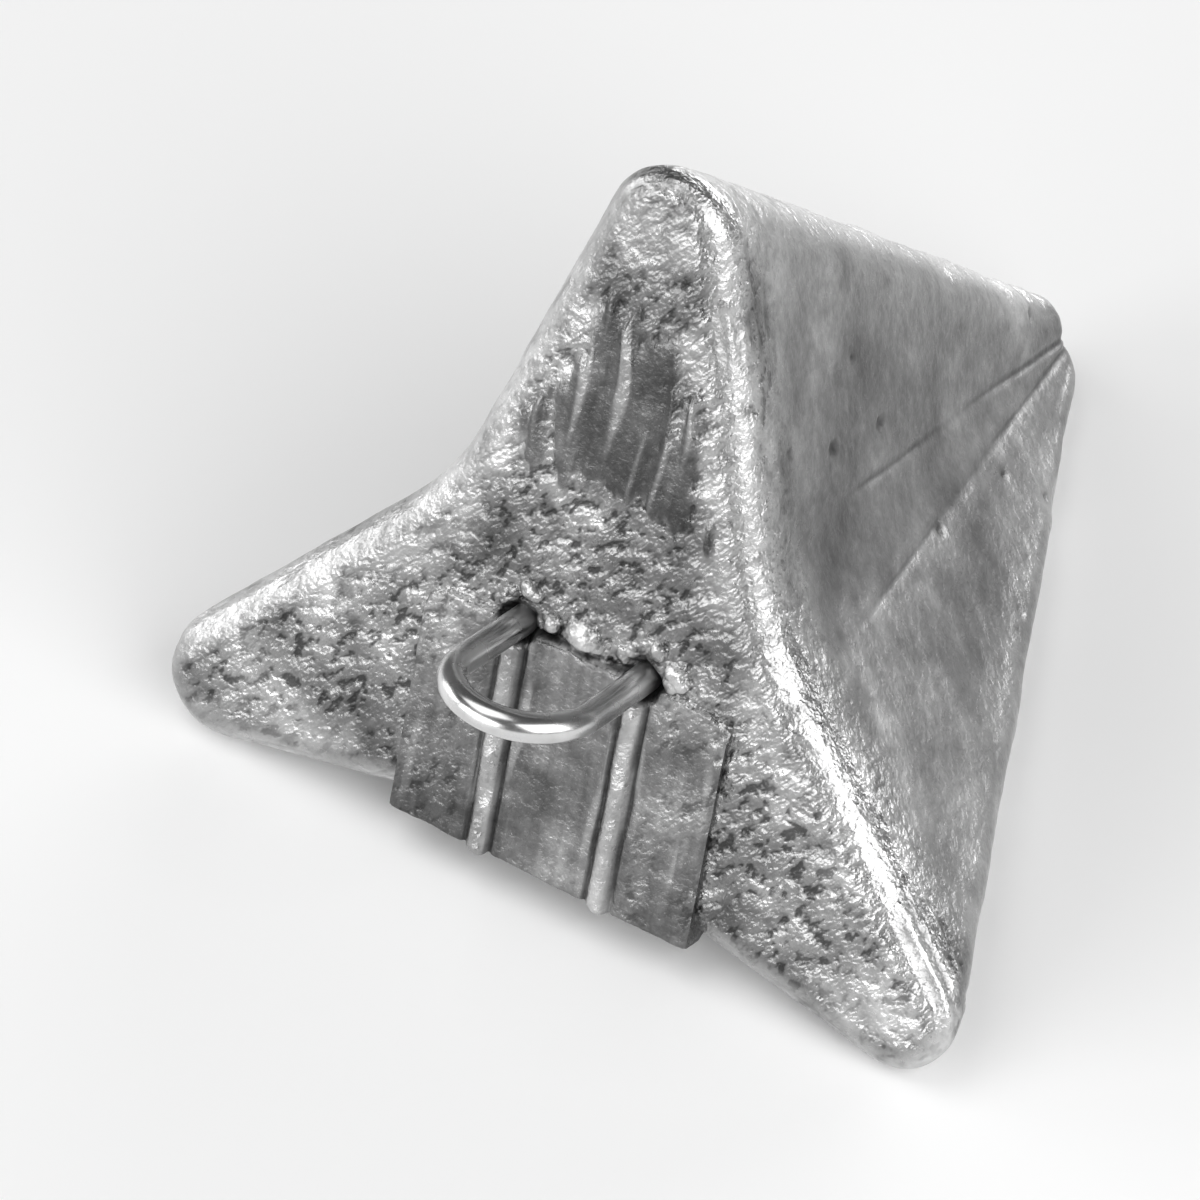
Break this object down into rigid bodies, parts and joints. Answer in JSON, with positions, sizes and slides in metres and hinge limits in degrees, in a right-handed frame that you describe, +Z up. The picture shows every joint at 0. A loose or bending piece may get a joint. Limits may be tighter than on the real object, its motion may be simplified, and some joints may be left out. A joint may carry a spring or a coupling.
{
  "type": "fishing sinker",
  "caption": "Cast lead pyramid sinker with hollowed sides and a wire line eye set in its base, for holding a fishing line on the bottom.",
  "frame": {"origin": "on the floor under the middle of the sinker, which lies on two of its three ridges", "axes": "+Z up, -Y towards the base face and the line eye, +Y towards the tip, X across, with the part symmetric about X 0"},
  "size_m": [0.039, 0.0438, 0.0334],
  "materials": {
    "lead": "satin",
    "wire": "polished"
  },
  "bodies": {
    "root": {"lead_body": "lead", "wire_eye": "wire"}
  },
  "joints": []
}
